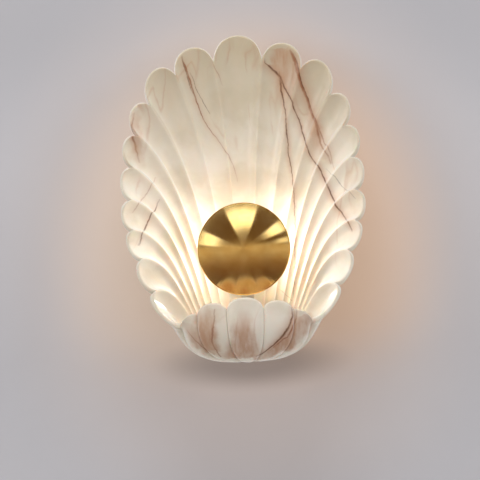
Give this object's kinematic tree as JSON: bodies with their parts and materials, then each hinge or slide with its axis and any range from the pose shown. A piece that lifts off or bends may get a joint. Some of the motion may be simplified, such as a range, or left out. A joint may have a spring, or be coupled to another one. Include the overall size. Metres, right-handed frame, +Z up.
{
  "type": "wall sconce",
  "caption": "Wall sconce with a tall fluted scallop shell of veined cream marble; a domed gold disc in its bowl hides an upright capsule bulb and throws the light back onto the flutes.",
  "frame": {"origin": "on the wall, on the axis of the hub that fastens the shell, midway between the two slots of the wall plate", "axes": "+X to the right as seen from the room, +Y into the wall, +Z up"},
  "size_m": [0.2576, 0.1331, 0.3518],
  "materials": {
    "marble": "polished, cream with red-brown veins",
    "gold_metal": "spun and polished",
    "boss_brass": "turned",
    "white_enamel": "satin",
    "zinc": "zinc plated",
    "bright_nickel": "bright nickel plated",
    "clamp_brass": "plain",
    "pale_rubber": "matt",
    "white_plastic": "moulded",
    "glazed_white": "white steatite",
    "lamp_ceramic": "unglazed",
    "pin_steel": "nickel plated",
    "clear_glass": "clear",
    "light_source": "phosphor coated",
    "brown_sleeve": "wire insulation",
    "blue_sleeve": "wire insulation",
    "green_sleeve": "wire insulation"
  },
  "bodies": {
    "lamp": {"shell_shade": "marble", "reflector_disc": "gold_metal", "disc_boss": "boss_brass", "back_pan": "white_enamel", "front_plate": "white_enamel", "lamp_strap": "white_enamel", "wall_plate": "zinc", "wall_studs": "zinc", "stud_washers": "zinc", "disc_washer": "zinc", "cap_nuts": "bright_nickel", "strap_screws": "bright_nickel", "holder_screws": "bright_nickel", "disc_screw": "bright_nickel", "block_screws": "bright_nickel", "rear_earth_screw": "bright_nickel", "front_earth_screw": "bright_nickel", "clamp_screws": "clamp_brass", "rear_gasket": "pale_rubber", "front_gasket": "pale_rubber", "wire_bush": "white_plastic", "terminal_block": "white_plastic", "lampholder": "glazed_white", "live_lead": "brown_sleeve", "neutral_lead": "blue_sleeve", "earth_lead": "green_sleeve"},
    "bulb": {"bulb_pins": "pin_steel", "bulb_base": "lamp_ceramic", "bulb_glass": "clear_glass", "bulb_core": "light_source"}
  },
  "joints": [
    {"name": "bulb_pull", "type": "slide", "parent": "lamp", "child": "bulb", "axis": [0, 0, 1], "range_m": [0, 0.018]}
  ]
}
